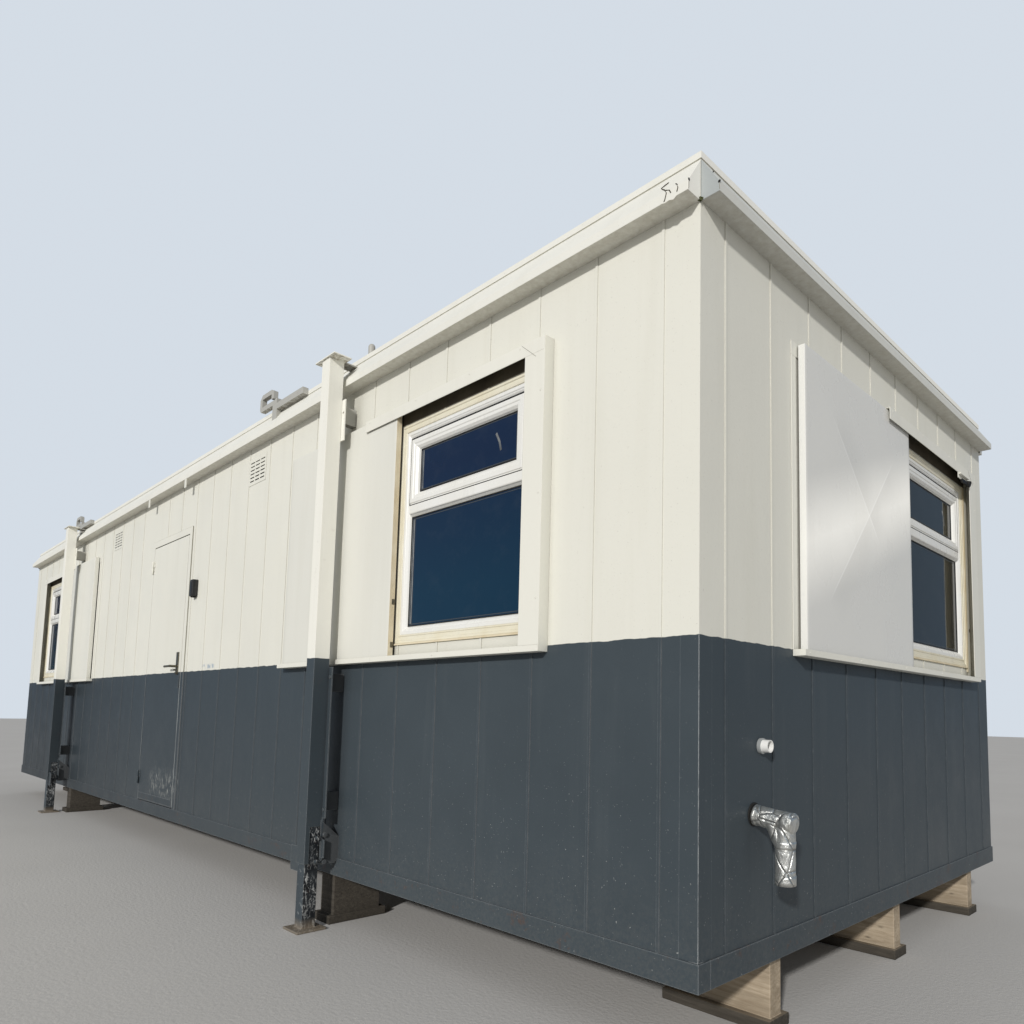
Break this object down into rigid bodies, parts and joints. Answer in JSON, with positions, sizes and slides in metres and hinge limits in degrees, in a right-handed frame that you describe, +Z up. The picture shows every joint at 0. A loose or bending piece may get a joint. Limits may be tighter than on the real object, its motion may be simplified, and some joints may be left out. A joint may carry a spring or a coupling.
{
  "type": "shipping container cabin",
  "caption": "Steel jackleg site cabin with a door, sliding window shutters and a folded roof rail, on timber packs.",
  "frame": {"origin": "middle of the footprint, on the ground", "axes": "+X along the cabin towards the end with the window, -Y is the side with the door, +Z up"},
  "size_m": [9.9775, 3.464, 3.032],
  "materials": {
    "slate_steel": "worn slate paint",
    "timber": "weathered",
    "cream_wall": "cream over slate paint, worn",
    "ceiling_board": "matt",
    "cream_steel": "worn cream paint",
    "leg_steel": "cream over slate paint, worn at the edges",
    "door_steel": "scuffed cream paint",
    "zinc_steel": "weathered",
    "satin_metal": "satin",
    "white_plastic": "slightly yellowed",
    "dark_glass": "dark reflective",
    "shutter_steel": "dented cream paint",
    "worn_steel": "flaking paint and rust",
    "waste_plastic": "smooth",
    "silver_foil": "crinkled foil",
    "black_plastic": "matt"
  },
  "bodies": {
    "cabin": {"base_rails_long": "slate_steel", "base_rails_end": "slate_steel", "floor_joists": "slate_steel", "floor_deck": "timber", "corner_posts": "cream_wall", "front_wall_near": "cream_wall", "front_wall_far": "cream_wall", "front_wall_over_door": "cream_wall", "back_wall": "cream_wall", "end_wall_near": "cream_wall", "end_wall_far": "cream_wall", "ceiling": "ceiling_board", "roof_beams": "cream_steel", "roof_sheet": "cream_steel", "roof_rail_front": "cream_steel", "roof_rail_back": "cream_steel", "roof_rail_near": "cream_steel", "roof_rail_far": "cream_steel", "door_frame": "door_steel", "door_hinges_frame": "zinc_steel", "window_frames": "white_plastic", "window_sashes": "white_plastic", "window_glass": "dark_glass", "shutter_tracks_upper": "cream_steel", "shutter_tracks_lower": "cream_steel", "shutter_stops": "cream_steel", "jackleg_tubes": "leg_steel", "jackleg_caps": "cream_steel", "jackleg_brackets": "cream_steel", "wall_vents": "cream_steel", "waste_stub": "waste_plastic", "lagged_pipe": "silver_foil", "timber_packs": "timber", "door_light": "black_plastic", "soffit_straps": "cream_steel", "lifting_lugs": "cream_steel", "roof_pegs": "cream_steel"},
    "door": {"door_leaf": "door_steel", "door_hinges_leaf": "zinc_steel", "door_handle_plate": "satin_metal"},
    "lever": {"door_lever": "satin_metal"},
    "shutter_near": {"shutter_near": "shutter_steel"},
    "shutter_far": {"shutter_far": "shutter_steel"},
    "shutter_end": {"shutter_end": "shutter_steel"},
    "leg_front_near": {"inner_leg_front_near": "worn_steel"},
    "leg_front_far": {"inner_leg_front_far": "worn_steel"},
    "leg_back_near": {"inner_leg_back_near": "worn_steel"},
    "leg_back_far": {"inner_leg_back_far": "worn_steel"}
  },
  "joints": [
    {"name": "door_hinge", "type": "hinge", "parent": "cabin", "child": "door", "pos_m": [-0.4095, -1.54, 1.3], "axis": [0, 0, -1], "range_deg": [0, 110]},
    {"name": "lever_turn", "type": "hinge", "parent": "door", "child": "lever", "pos_m": [0.298, -1.5403, 1.355], "axis": [0, -1, 0], "range_deg": [0, 45], "stiffness_Nm_per_rad": 2, "springref_deg": -11.46},
    {"name": "shutter_near_slide", "type": "slide", "parent": "cabin", "child": "shutter_near", "axis": [1, 0, 0], "range_m": [0, 1.019]},
    {"name": "shutter_far_slide", "type": "slide", "parent": "cabin", "child": "shutter_far", "axis": [-1, 0, 0], "range_m": [0, 1.019]},
    {"name": "shutter_end_slide", "type": "slide", "parent": "cabin", "child": "shutter_end", "axis": [0, 1, 0], "range_m": [0, 1.019]},
    {"name": "leg_front_near_slide", "type": "slide", "parent": "cabin", "child": "leg_front_near", "axis": [0, 0, 1], "range_m": [0, 0.2]},
    {"name": "leg_front_far_slide", "type": "slide", "parent": "cabin", "child": "leg_front_far", "axis": [0, 0, 1], "range_m": [0, 0.2]},
    {"name": "leg_back_near_slide", "type": "slide", "parent": "cabin", "child": "leg_back_near", "axis": [0, 0, 1], "range_m": [0, 0.2]},
    {"name": "leg_back_far_slide", "type": "slide", "parent": "cabin", "child": "leg_back_far", "axis": [0, 0, 1], "range_m": [0, 0.2]}
  ]
}
